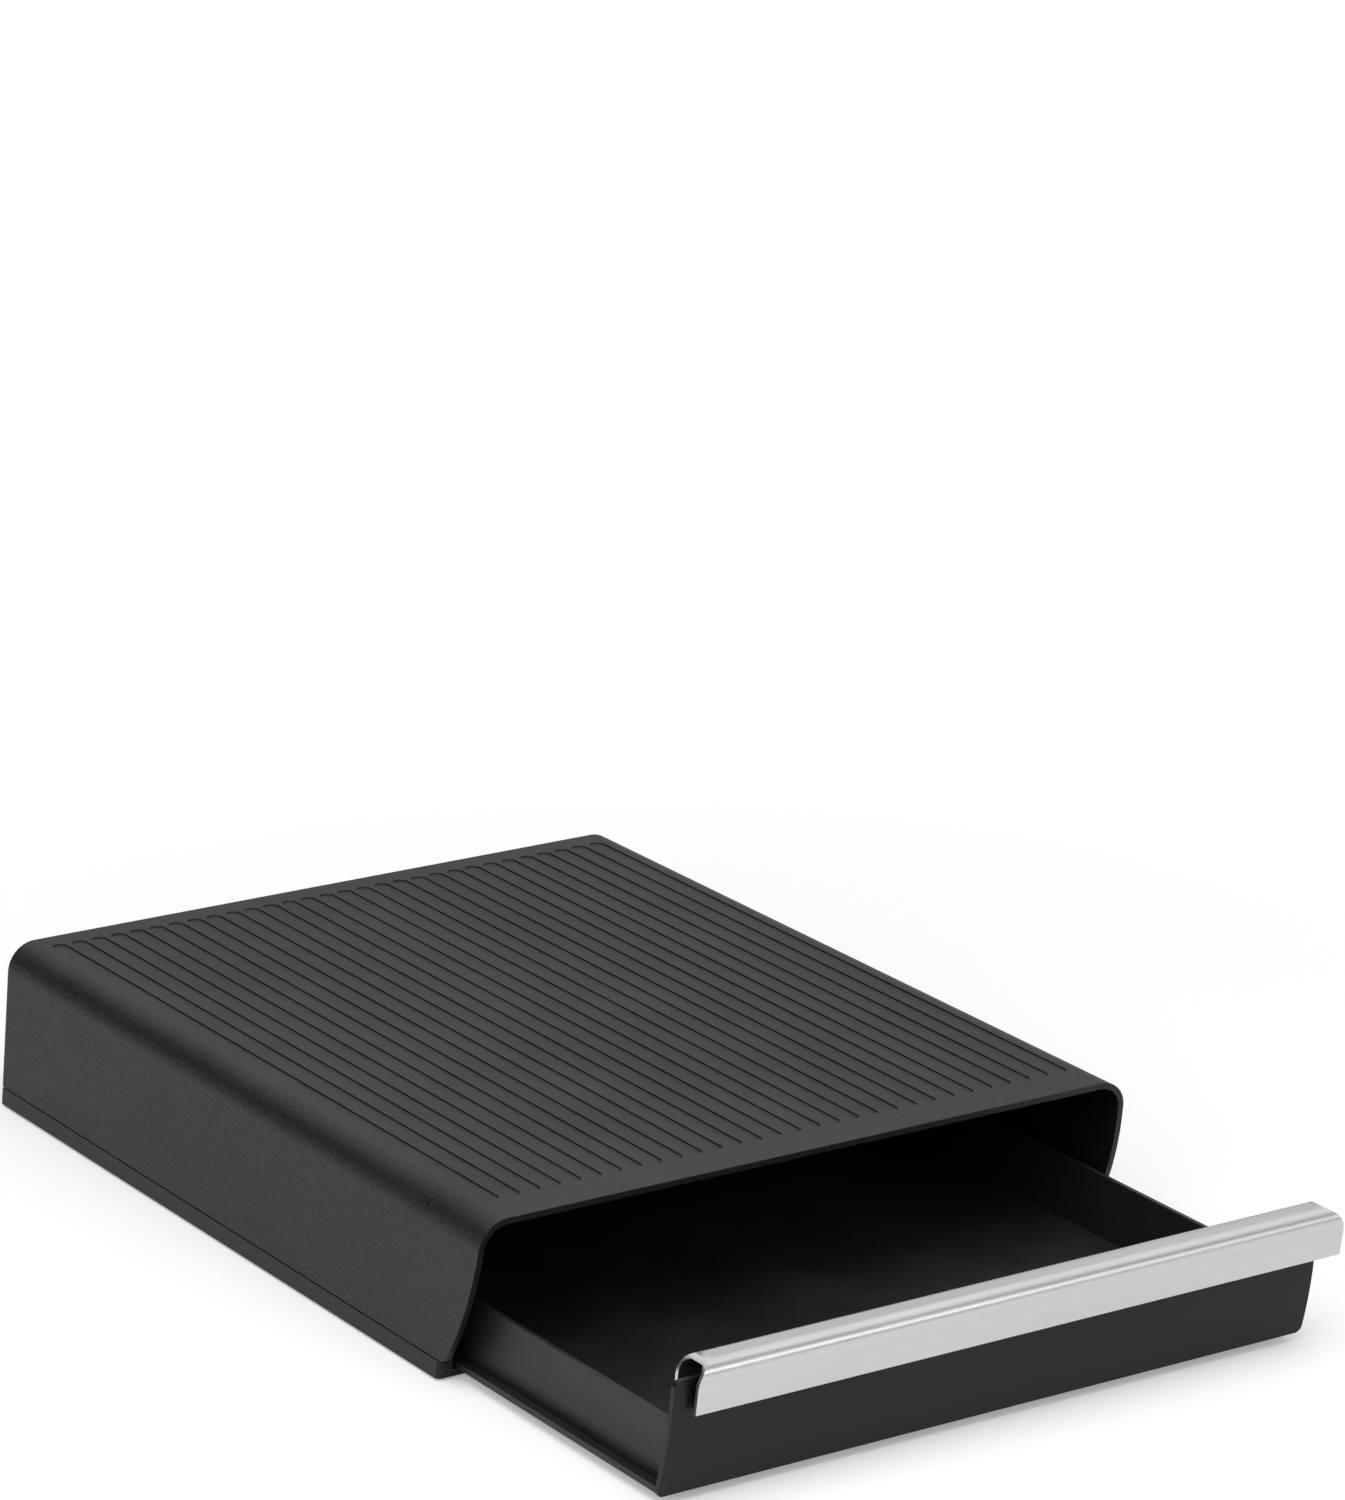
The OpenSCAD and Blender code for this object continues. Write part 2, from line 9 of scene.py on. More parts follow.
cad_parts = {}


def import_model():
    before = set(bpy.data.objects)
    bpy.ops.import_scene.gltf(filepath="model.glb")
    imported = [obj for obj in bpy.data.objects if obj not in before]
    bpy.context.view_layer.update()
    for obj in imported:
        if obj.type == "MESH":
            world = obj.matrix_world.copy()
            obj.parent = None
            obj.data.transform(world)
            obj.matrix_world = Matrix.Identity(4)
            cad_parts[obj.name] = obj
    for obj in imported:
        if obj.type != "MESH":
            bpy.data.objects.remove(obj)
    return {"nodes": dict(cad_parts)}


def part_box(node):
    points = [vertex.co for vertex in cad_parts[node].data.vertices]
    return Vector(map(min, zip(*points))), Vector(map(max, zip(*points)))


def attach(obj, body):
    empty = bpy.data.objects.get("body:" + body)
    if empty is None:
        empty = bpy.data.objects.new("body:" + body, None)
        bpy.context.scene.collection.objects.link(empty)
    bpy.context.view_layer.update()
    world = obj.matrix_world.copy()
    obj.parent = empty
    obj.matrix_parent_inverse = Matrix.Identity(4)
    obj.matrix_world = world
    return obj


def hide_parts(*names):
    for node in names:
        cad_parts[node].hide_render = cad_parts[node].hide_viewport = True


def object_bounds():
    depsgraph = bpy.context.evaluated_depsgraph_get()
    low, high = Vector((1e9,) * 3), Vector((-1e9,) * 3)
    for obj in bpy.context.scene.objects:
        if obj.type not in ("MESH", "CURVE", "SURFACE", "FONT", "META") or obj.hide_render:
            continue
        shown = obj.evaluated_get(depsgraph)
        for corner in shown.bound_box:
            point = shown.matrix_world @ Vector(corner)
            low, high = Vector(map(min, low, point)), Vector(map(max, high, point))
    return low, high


bl_info = {
    "name": "Coffee Pod Drawer",
    "version": (1, 0, 0),
    "blender": (4, 5, 0),
    "location": "View3D > Sidebar > Pod Drawer",
    "description": "Dresses a pod drawer with moulded plastic, satin metal and a plain studio",
    "category": "Object",
}

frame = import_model()
CAD_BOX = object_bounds()
BOTTOM_Z = CAD_BOX[0][2]

MM = 0.001
IMAGE_H = 1500
WHITE = (1.0, 1.0, 1.0, 1.0)

# The photograph's camera: direction and roll in degrees, lens in pixels of the image,
# place in millimetres
CAMERA_AZIMUTH = 34.48
CAMERA_ELEVATION = 17.31
CAMERA_ROLL = 1.25
CAMERA_FOCAL_PX = 6254.4
CAMERA_PLACE = Vector((-1147.1, -1683.73, 807.83))
CAMERA_NEAR = 0.05
CAMERA_FAR = 60.0
SENSOR_MM = 36.0

# Studio lights in metres and watts: place, point they face, width and height, power;
# the world's even light is the room's part in all but the reflections
SOFTBOXES = {
    "overhead": ((-0.45, -0.6, 1.9), (0.0, 0.0, 0.0), (1.8, 1.4), 21.0),
    "left_side": ((-1.9, 0.0, 0.7), (0.0, 0.0, 0.03), (1.3, 0.9), 5.0),
    "front_fill": ((0.9, -2.0, 0.8), (0.0, -0.1, 0.03), (1.2, 0.8), 6.0),
    "front_left": ((-1.3, -1.0, 0.9), (0.0, -0.2, 0.02), (1.0, 0.8), 5.0),
}
WORLD_LIGHT = 0.45

# What reflections see of the room: its brightness at the dim end of each change, and the
# range of the ray's direction over which it rises to full
HORIZON_GLOSS, HORIZON_RANGE = 0.45, (0.15, 0.7)
FLAG_GLOSS, FLAG_RANGE = 0.03, (0.1, 0.72)
FRONT_GLOSS, FRONT_RANGE = 0.4, (-0.55, 0.0)
FLAG_LEAN = 0.8

# Floor in metres: half its width, its drop below the pads, and the reach over which its
# own glow rises from that under the object to full
FLOOR_SIZE = 6.0
FLOOR_DROP = 0.05 * MM
FLOOR_REACH = (0.35, 1.3)
FLOOR_GLOW = 0.28
FLOOR_GLOSS = 0.1
FLOOR_COLOUR = (0.82, 0.82, 0.82)
FLOOR_GRAINS = 300.0

# Clean-up of a node's mesh, and the edges that get rounded
WELD_DISTANCE = 1e-6
FLAT_ANGLE = math.radians(0.5)
SHARP_ANGLE = math.radians(30)
FACE_WEIGHT = 80

# Radii of the smaller pieces' edges, as shares of the moulded edge radius or in metres
THIN_EDGE = 0.6
PANEL_EDGE = 0.8
SCREW_EDGE = 0.12 * MM
FOAM_EDGE = 0.2 * MM

# Edges this near the top, and this far from the cover's ends, belong to the recesses
RECESS_REACH = 0.6 * MM
RECESS_MARGIN = 5 * MM

# Moulded finishes: strength of the speckle, depth of the grain, roughness, share of paler
# rounded edge, which is rub marks and a painted highlight along the edges, and of dust, and
# strength of the shine
COVER_FINISH = {
    "speckle": 1.6, "depth": 0.34 * MM, "roughness": 0.40,
    "wear_and_highlight": 0.5, "dust": 0.05, "gloss": 0.34,
}
TRAY_FINISH = {
    "speckle": 0.6, "depth": 0.05 * MM, "roughness": 0.42,
    "wear_and_highlight": 0.45, "dust": 0.04, "gloss": 0.35,
}
PANEL_FINISH = {
    "speckle": 0.4, "depth": 0.02 * MM, "roughness": 0.36,
    "wear_and_highlight": 0.4, "dust": 0.02, "gloss": 0.26,
}
DUST_COLOUR = (0.30, 0.29, 0.28, 1.0)
# Paler silver and its share on the bar's rounded edges: rub marks, and a painted highlight along
# the edges
RUBBED_AND_HIGHLIT_SILVER = (0.72, 0.72, 0.73, 1.0)
SILVER_WEAR_AND_HIGHLIGHT = 0.5
BLOOM_COLOUR = (0.07, 0.068, 0.066, 1.0)

# Features per metre of each texture
FLOW_SCALE = 9.0
RUB_SCALE = 260.0
DUST_SCALE = 22.0
FLAKE_SCALE = 2200.0
LINE_SCALE = 700.0
SHEEN_SCALE = 12.0
RUBBER_SCALE = 1400.0
BLOOM_SCALE = 90.0
SPANGLE_SCALE = 900.0
ZINC_FILM_SCALE = 400.0
PORE_SCALE = 2200.0

# Depth of the other pieces' fine textures
FLAKE_DEPTH = 0.012 * MM
RUBBER_DEPTH = 0.04 * MM
ZINC_DEPTH = 0.01 * MM
PORE_DEPTH = 0.15 * MM


# ---- sizes and colours a user may change ----


class PodDrawerSizes(bpy.types.PropertyGroup):
    """Sizes of the fine forms that the finish adds"""

    edge_radius: bpy.props.FloatProperty(
        name="Edge radius", description="Softening of the moulded edges",
        default=0.45 * MM, min=0.1 * MM, max=1 * MM, unit="LENGTH")
    recess_radius: bpy.props.FloatProperty(
        name="Recess edge", description="Softening along the rims of the top's recesses",
        default=0.07 * MM, min=0.03 * MM, max=0.2 * MM, unit="LENGTH")
    bar_radius: bpy.props.FloatProperty(
        name="Bar edge", description="Softening of the grip bar's cut edges",
        default=0.35 * MM, min=0.1 * MM, max=0.6 * MM, unit="LENGTH")
    grain_size: bpy.props.FloatProperty(
        name="Grain size", description="Spacing of the fine texture on the moulded faces",
        default=0.9 * MM, min=0.2 * MM, max=3 * MM, unit="LENGTH")


class PodDrawerColours(bpy.types.PropertyGroup):
    """Colours of the finishes"""

    cover: bpy.props.FloatVectorProperty(
        name="Cover", description="Charcoal plastic of the cover and the rails",
        default=(0.0108, 0.0096, 0.0110), size=3, min=0, max=1, subtype="COLOR")
    tray: bpy.props.FloatVectorProperty(
        name="Tray", description="Charcoal plastic of the tray",
        default=(0.0135, 0.0130, 0.0140), size=3, min=0, max=1, subtype="COLOR")
    panel: bpy.props.FloatVectorProperty(
        name="Panel", description="Black plastic of the front panel",
        default=(0.0075, 0.0066, 0.0080), size=3, min=0, max=1, subtype="COLOR")
    bar: bpy.props.FloatVectorProperty(
        name="Grip bar", description="Satin silver of the grip bar",
        default=(0.655, 0.66, 0.675), size=3, min=0, max=1, subtype="COLOR")
    rubber: bpy.props.FloatVectorProperty(
        name="Pads", description="Black rubber of the pads",
        default=(0.018, 0.018, 0.018), size=3, min=0, max=1, subtype="COLOR")
    zinc: bpy.props.FloatVectorProperty(
        name="Screws", description="Zinc plate of the screws",
        default=(0.55, 0.55, 0.56), size=3, min=0, max=1, subtype="COLOR")
    foam: bpy.props.FloatVectorProperty(
        name="Foam", description="Dark foam between bar and panel",
        default=(0.045, 0.045, 0.048), size=3, min=0, max=1, subtype="COLOR")


# ---- mesh helpers ----


def linked(name, data):
    """A new object in the scene."""
    made = bpy.data.objects.new(name, data)
    bpy.context.scene.collection.objects.link(made)
    return made


def mesh_from(bm, name):
    """A mesh from the edited one, which is then freed."""
    mesh = bpy.data.meshes.new(name)
    bm.to_mesh(mesh)
    bm.free()
    return mesh


def bevelled(bm, edges, offset, segments):
    """Rounds the edges and gives the faces that the rounding made."""
    made = bmesh.ops.bevel(
        bm, geom=edges, offset=offset, offset_type="OFFSET", affect="EDGES", segments=segments,
        profile=0.5, clamp_overlap=True, material=-1)
    return made["faces"]


def softened(node, name, radius, segments=2, fine=None):
    """A copy of a CAD node with rounded edges, and "edge" marked 1 on the rounded faces.

    fine gives a test for edges and the smaller radius that they get.
    """
    bm = bmesh.new()
    bm.from_mesh(frame["nodes"][node].data)
    bmesh.ops.remove_doubles(bm, verts=bm.verts, dist=WELD_DISTANCE)
    bmesh.ops.dissolve_limit(bm, angle_limit=FLAT_ANGLE, verts=bm.verts, edges=bm.edges)
    sharp = [e for e in bm.edges if e.is_manifold and e.calc_face_angle() > SHARP_ANGLE]
    rounded = []
    if fine:
        is_fine, fine_radius = fine
        small = {e for e in sharp if is_fine(e)}
        large = [e for e in sharp if e not in small]
        rounded += bevelled(bm, [e for e in sharp if e in small], fine_radius, 1)
        sharp = [e for e in large if e.is_valid]
    rounded += bevelled(bm, sharp, radius, segments)
    mark = bm.faces.layers.float.new("edge")
    for face in rounded:
        if face.is_valid:
            face[mark] = 1.0
    mesh = mesh_from(bm, name)
    piece = linked(name, mesh)
    mesh.shade_smooth()
    weigh = piece.modifiers.new("face_weighted", "WEIGHTED_NORMAL")
    weigh.keep_sharp = True
    weigh.weight = FACE_WEIGHT
    return piece


def dress(piece, body, material, node):
    """The piece takes its material, moves with a body and stands for its CAD node."""
    piece.data.materials.clear()
    piece.data.materials.append(material)
    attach(piece, body)
    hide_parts(node)


# ---- shader helpers ----


def node_group(name, inputs, outputs):
    """A new shader node group with named sockets, and its start and end nodes."""
    group = bpy.data.node_groups.new(name, "ShaderNodeTree")
    for label, kind, value in inputs:
        socket = group.interface.new_socket(label, in_out="INPUT", socket_type=kind)
        if value is not None:
            socket.default_value = value
    for label, kind in outputs:
        group.interface.new_socket(label, in_out="OUTPUT", socket_type=kind)
    return group, group.nodes.new("NodeGroupInput"), group.nodes.new("NodeGroupOutput")


def feed(links, socket, value):
    """Joins a socket to another one, or sets its plain value."""
    if isinstance(value, bpy.types.NodeSocket):
        links.new(value, socket)
    elif value is not None:
        socket.default_value = value


def maths(tree, operation, a, b=None, c=None):
    """A maths node on sockets or plain numbers."""
    node = tree.nodes.new("ShaderNodeMath")
    node.operation = operation
    for socket, value in zip(node.inputs, (a, b, c)):
        feed(tree.links, socket, value)
    return node.outputs["Value"]


def off_middle(tree, value):
    """How far a noise value lies from its middle."""
    return maths(tree, "SUBTRACT", value, 0.5)


def object_coordinates(tree):
    """A place on the piece, in metres."""
    return tree.nodes.new("ShaderNodeTexCoord").outputs["Object"]


def noise(tree, scale, detail=3.0, roughness=0.55, stretch=None):
    """Noise on object coordinates, with features per metre and a stretch per axis."""
    source = object_coordinates(tree)
    if stretch:
        mapping = tree.nodes.new("ShaderNodeMapping")
        mapping.inputs["Scale"].default_value = stretch
        tree.links.new(source, mapping.inputs["Vector"])
        source = mapping.outputs["Vector"]
    texture = tree.nodes.new("ShaderNodeTexNoise")
    texture.inputs["Detail"].default_value = detail
    texture.inputs["Roughness"].default_value = roughness
    feed(tree.links, texture.inputs["Scale"], scale)
    tree.links.new(source, texture.inputs["Vector"])
    return texture.outputs["Fac"]


def cells(tree, scale):
    """Distance to the nearest of many scattered points, with cells per metre."""
    texture = tree.nodes.new("ShaderNodeTexVoronoi")
    texture.inputs["Scale"].default_value = scale
    tree.links.new(object_coordinates(tree), texture.inputs["Vector"])
    return texture.outputs["Distance"]


def between(tree, value, low, high, low_out=0.0, high_out=1.0):
    """Maps a value smoothly from one range to another."""
    node = tree.nodes.new("ShaderNodeMapRange")
    node.interpolation_type = "SMOOTHSTEP"
    for socket, given in zip(node.inputs, (value, low, high, low_out, high_out)):
        feed(tree.links, socket, given)
    return node.outputs["Result"]


def dimmed(tree, colour, factor):
    """A colour times a factor."""
    node = tree.nodes.new("ShaderNodeVectorMath")
    node.operation = "SCALE"
    feed(tree.links, node.inputs[0], colour)
    feed(tree.links, node.inputs["Scale"], factor)
    return node.outputs["Vector"]


def blended(tree, factor, first, second):
    """A mix of two colours."""
    node = tree.nodes.new("ShaderNodeMix")
    node.data_type = "RGBA"
    # The sockets of the colour kind are reached by number, since all kinds share their names
    for place, value in ((0, factor), (6, first), (7, second)):
        feed(tree.links, node.inputs[place], value)
    return node.outputs[2]


def shared(name, maker):
    """The node group of that name, made the first time it is asked for."""
    return bpy.data.node_groups.get(name) or maker(name)


def use_group(tree, group, **values):
    """Places a node group and feeds its inputs by their names, with spaces as underscores."""
    node = tree.nodes.new("ShaderNodeGroup")
    node.node_tree = group
    for label, value in values.items():
        feed(tree.links, node.inputs[label.replace("_", " ")], value)
    return node


def plain_material(name):
    """An empty node material, its tree and its Principled shader."""
    material = bpy.data.materials.new(name)
    material.use_nodes = True
    tree = material.node_tree
    return material, tree, tree.nodes["Principled BSDF"]


def bumped(tree, shader, height, distance):
    """The shader's surface rises and falls with the height, by up to the distance."""
    bump = tree.nodes.new("ShaderNodeBump")
    bump.inputs["Strength"].default_value = 1.0
    bump.inputs["Distance"].default_value = distance
    feed(tree.links, bump.inputs["Height"], height)
    feed(tree.links, shader.inputs["Normal"], bump.outputs["Normal"])


# ---- effects that the finishes share ----


def moulded_group(name):
    """Sandy texture of a moulded face, with slow changes of tone and sheen."""
    group, start, end = node_group(
        name,
        [("Colour", "NodeSocketColor", None), ("Grains per Metre", "NodeSocketFloat", 1600.0),
         ("Speckle", "NodeSocketFloat", 0.3), ("Roughness", "NodeSocketFloat", 0.45)],
        [("Colour", "NodeSocketColor"), ("Roughness", "NodeSocketFloat"),
         ("Height", "NodeSocketFloat")])
    tone_drift, rough_drift, rough_grain = 0.25, 0.22, 0.15
    grain = noise(group, start.outputs["Grains per Metre"], detail=2.0, roughness=0.7)
    flow = noise(group, FLOW_SCALE, detail=4.0, roughness=0.6, stretch=(1.0, 0.45, 1.0))
    centred = off_middle(group, grain)
    drift = off_middle(group, flow)
    tone = maths(group, "MULTIPLY_ADD", centred, start.outputs["Speckle"], 1.0)
    tone = maths(group, "MULTIPLY_ADD", drift, tone_drift, tone)
    rough = maths(group, "MULTIPLY_ADD", drift, rough_drift, start.outputs["Roughness"])
    rough = maths(group, "MULTIPLY_ADD", centred, rough_grain, rough)
    feed(group.links, end.inputs["Colour"], dimmed(group, start.outputs["Colour"], tone))
    feed(group.links, end.inputs["Roughness"], rough)
    feed(group.links, end.inputs["Height"], grain)
    return group


def edge_wear_and_highlight_group(name):
    """Polish and pale rub marks along the rounded edges, broken up by noise; the pale colour also
    paints a highlight along the edges.
    """
    group, start, end = node_group(
        name,
        [("Colour", "NodeSocketColor", None), ("Worn Colour", "NodeSocketColor", None),
         ("Roughness", "NodeSocketFloat", 0.45), ("Wear", "NodeSocketFloat", 0.5)],
        [("Colour", "NodeSocketColor"), ("Roughness", "NodeSocketFloat")])
    polish = -0.12
    edge = group.nodes.new("ShaderNodeAttribute")
    edge.attribute_name = "edge"
    broken = between(group, noise(group, RUB_SCALE), 0.35, 0.65, 0.4, 1.0)
    mask = maths(group, "MULTIPLY", edge.outputs["Fac"], broken)
    mask = maths(group, "MULTIPLY", mask, start.outputs["Wear"])
    colour = blended(group, mask, start.outputs["Colour"], start.outputs["Worn Colour"])
    rough = maths(group, "MULTIPLY_ADD", mask, polish, start.outputs["Roughness"])
    feed(group.links, end.inputs["Colour"], colour)
    feed(group.links, end.inputs["Roughness"], rough)
    return group


def dust_group(name):
    """A thin grey film of dust on faces that look up, in soft patches."""
    group, start, end = node_group(
        name,
        [("Colour", "NodeSocketColor", None), ("Roughness", "NodeSocketFloat", 0.45),
         ("Dust", "NodeSocketFloat", 0.1)],
        [("Colour", "NodeSocketColor"), ("Roughness", "NodeSocketFloat")])
    dulling = 1.2
    geometry = group.nodes.new("ShaderNodeNewGeometry")
    split = group.nodes.new("ShaderNodeSeparateXYZ")
    feed(group.links, split.inputs["Vector"], geometry.outputs["Normal"])
    upward = between(group, split.outputs["Z"], 0.5, 1.0)
    patches = between(group, noise(group, DUST_SCALE, detail=5.0, roughness=0.65), 0.3, 0.75)
    mask = maths(group, "MULTIPLY", upward, patches)
    mask = maths(group, "MULTIPLY", mask, start.outputs["Dust"])
    colour = blended(group, mask, start.outputs["Colour"], DUST_COLOUR)
    rough = maths(group, "MULTIPLY_ADD", mask, dulling, start.outputs["Roughness"])
    feed(group.links, end.inputs["Colour"], colour)
    feed(group.links, end.inputs["Roughness"], rough)
    return group


# ---- finishes ----


def moulded_plastic(name, colour, grain, speckle, depth, roughness, wear_and_highlight, dust, gloss):
    """Moulded plastic: grain, a film of dust and pale rub marks on the edges over one colour; the
    pale edges also paint a highlight along them.
    """
    material, tree, shader = plain_material(name)
    # Paler colour for the rounded edges: rub marks, and a painted highlight along the edges
    paler, lift = 1.9, 0.02
    worn_and_highlit = (*(min(1.0, paler * part + lift) for part in colour), 1.0)
    texture = use_group(
        tree, shared("moulded_texture", moulded_group), Colour=(*colour, 1.0),
        Grains_per_Metre=1.0 / grain, Speckle=speckle, Roughness=roughness)
    film = use_group(
        tree, shared("dust_film", dust_group), Colour=texture.outputs["Colour"],
        Roughness=texture.outputs["Roughness"], Dust=dust)
    rubbed_and_highlit = use_group(
        tree, shared("edge_wear_and_highlight", edge_wear_and_highlight_group), Colour=film.outputs["Colour"],
        Worn_Colour=worn_and_highlit, Roughness=film.outputs["Roughness"], Wear=wear_and_highlight)
    shader.inputs["Specular IOR Level"].default_value = gloss
    feed(tree.links, shader.inputs["Base Color"], rubbed_and_highlit.outputs["Colour"])
    feed(tree.links, shader.inputs["Roughness"], rubbed_and_highlit.outputs["Roughness"])
    bumped(tree, shader, texture.outputs["Height"], depth)
    return material


def cover_plastic(context):
    """The plastic that the cover and the rails share, made by whichever comes first."""
    name = "charcoal_plastic"
    return bpy.data.materials.get(name) or moulded_plastic(
        name, context.scene.pod_colours.cover, context.scene.pod_sizes.grain_size, **COVER_FINISH)


def satin_silver(colour):
    """Satin metal: fine flake, faint lines along the bar and a slow change of sheen."""
    material, tree, shader = plain_material("satin_silver")
    flake = noise(tree, FLAKE_SCALE, detail=2.0, roughness=0.7)
    lines = noise(tree, LINE_SCALE, stretch=(0.02, 1.0, 1.0))
    slow = noise(tree, SHEEN_SCALE)
    flake_part, line_part, slow_part = (off_middle(tree, part) for part in (flake, lines, slow))
    flake_share, satin = 0.5, 0.32
    fine_tone, slow_tone = 0.18, 0.06
    fine_rough, slow_rough = 0.20, 0.12
    mixed = maths(tree, "MULTIPLY_ADD", flake_part, flake_share, line_part)
    tone = maths(tree, "MULTIPLY_ADD", mixed, fine_tone, 1.0)
    tone = maths(tree, "MULTIPLY_ADD", slow_part, slow_tone, tone)
    rough = maths(tree, "MULTIPLY_ADD", mixed, fine_rough, satin)
    rough = maths(tree, "MULTIPLY_ADD", slow_part, slow_rough, rough)
    # Paler silver on the rounded edges: rub marks, and a painted highlight along them
    worn_and_highlit = use_group(
        tree, shared("edge_wear_and_highlight", edge_wear_and_highlight_group), Colour=dimmed(tree, tuple(colour), tone),
        Worn_Colour=RUBBED_AND_HIGHLIT_SILVER, Roughness=rough, Wear=SILVER_WEAR_AND_HIGHLIGHT)
    shader.inputs["Metallic"].default_value = 1.0
    feed(tree.links, shader.inputs["Base Color"], worn_and_highlit.outputs["Colour"])
    feed(tree.links, shader.inputs["Roughness"], worn_and_highlit.outputs["Roughness"])
    bumped(tree, shader, flake, FLAKE_DEPTH)
    return material


def rubber(colour):
    """Dull rubber with a fine bloom."""
    material, tree, shader = plain_material("dull_rubber")
    grain = noise(tree, RUBBER_SCALE)
    bloom = between(tree, noise(tree, BLOOM_SCALE, detail=4.0), 0.35, 0.7, 0.0, 0.35)
    base = blended(tree, bloom, (*colour, 1.0), BLOOM_COLOUR)
    feed(tree.links, shader.inputs["Base Color"], base)
    feed(tree.links, shader.inputs["Roughness"], maths(tree, "MULTIPLY_ADD", grain, 0.15, 0.75))
    bumped(tree, shader, grain, RUBBER_DEPTH)
    return material


def zinc(colour):
    """Zinc plated steel with a spangle and a dull film."""
    material, tree, shader = plain_material("zinc_plate")
    film = noise(tree, ZINC_FILM_SCALE, detail=4.0)
    spangle = between(tree, cells(tree, SPANGLE_SCALE), 0.0, 0.8, 0.85, 1.1)
    shader.inputs["Metallic"].default_value = 1.0
    feed(tree.links, shader.inputs["Base Color"], dimmed(tree, tuple(colour), spangle))
    feed(tree.links, shader.inputs["Roughness"], maths(tree, "MULTIPLY_ADD", film, 0.3, 0.22))
    bumped(tree, shader, film, ZINC_DEPTH)
    return material


def foam(colour):
    """Open-pored foam."""
    material, tree, shader = plain_material("dark_foam")
    pores = cells(tree, PORE_SCALE)
    shade = between(tree, pores, 0.1, 0.7, 0.5, 1.3)
    shader.inputs["Roughness"].default_value = 0.95
    feed(tree.links, shader.inputs["Base Color"], dimmed(tree, tuple(colour), shade))
    bumped(tree, shader, pores, PORE_DEPTH)
    return material


# ---- pieces ----


class PODDRAWER_OT_cover(bpy.types.Operator):
    """Top cover with softened edges and moulded texture"""

    bl_idname = "poddrawer.cover"
    bl_label = "Cover"

    def execute(self, context):
        sizes = context.scene.pod_sizes
        low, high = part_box("top_cover")

        def on_recess(edge):
            return all(
                v.co.z > high.z - RECESS_REACH
                and low.y + RECESS_MARGIN < v.co.y < high.y - RECESS_MARGIN
                for v in edge.verts)

        # The recess rims count as rounded edges too, so the pale edge colour paints thin
        # highlights along them
        piece = softened(
            "top_cover", "cover", sizes.edge_radius, fine=(on_recess, sizes.recess_radius))
        dress(piece, "housing", cover_plastic(context), "top_cover")
        return {"FINISHED"}


class PODDRAWER_OT_rails(bpy.types.Operator):
    """Base rails, one under each side wall"""

    bl_idname = "poddrawer.rails"
    bl_label = "Rails"

    def execute(self, context):
        radius = THIN_EDGE * context.scene.pod_sizes.edge_radius
        for side in ("left", "right"):
            node = f"rail_{side}"
            piece = softened(node, f"base_{node}", radius)
            dress(piece, "housing", cover_plastic(context), node)
        return {"FINISHED"}


class PODDRAWER_OT_pads(bpy.types.Operator):
    """Four rubber pads under the rails"""

    bl_idname = "poddrawer.pads"
    bl_label = "Rubber pads"

    def execute(self, context):
        material = rubber(context.scene.pod_colours.rubber)
        for place in ("front_left", "front_right", "rear_left", "rear_right"):
            node = f"pad_{place}"
            piece = softened(node, f"rubber_{node}", context.scene.pod_sizes.edge_radius)
            dress(piece, "housing", material, node)
        return {"FINISHED"}


class PODDRAWER_OT_screws(bpy.types.Operator):
    """Zinc plated screws of the rails and of the front panel"""

    bl_idname = "poddrawer.screws"
    bl_label = "Screws"

    def execute(self, context):
        material = zinc(context.scene.pod_colours.zinc)
        for body, node in (("housing", "rail_screws"), ("drawer", "panel_screws")):
            piece = softened(node, f"zinc_{node}", SCREW_EDGE, segments=1)
            dress(piece, body, material, node)
        return {"FINISHED"}


class PODDRAWER_OT_tray(bpy.types.Operator):
    """Sliding tray"""

    bl_idname = "poddrawer.tray"
    bl_label = "Tray"

    def execute(self, context):
        sizes = context.scene.pod_sizes
        piece = softened("tray", "pod_tray", THIN_EDGE * sizes.edge_radius)
        material = moulded_plastic(
            "tray_plastic", context.scene.pod_colours.tray, sizes.grain_size, **TRAY_FINISH)
        dress(piece, "drawer", material, "tray")
        return {"FINISHED"}


class PODDRAWER_OT_panel(bpy.types.Operator):
    """Curved front panel"""

    bl_idname = "poddrawer.panel"
    bl_label = "Front panel"

    def execute(self, context):
        sizes = context.scene.pod_sizes
        piece = softened("front_panel", "curved_panel", PANEL_EDGE * sizes.edge_radius)
        material = moulded_plastic(
            "panel_plastic", context.scene.pod_colours.panel, sizes.grain_size, **PANEL_FINISH)
        dress(piece, "drawer", material, "front_panel")
        return {"FINISHED"}


class PODDRAWER_OT_bar(bpy.types.Operator):
    """Satin silver grip bar and the foam strip that holds it"""

    bl_idname = "poddrawer.bar"
    bl_label = "Grip bar"

    def execute(self, context):
        colours = context.scene.pod_colours
        piece = softened("grip_bar", "silver_bar", context.scene.pod_sizes.bar_radius, segments=3)
        dress(piece, "drawer", satin_silver(colours.bar), "grip_bar")
        strip = softened("bar_foam", "foam_strip", FOAM_EDGE, segments=1)
        dress(strip, "drawer", foam(colours.foam), "bar_foam")
        return {"FINISHED"}


# ---- stage ----


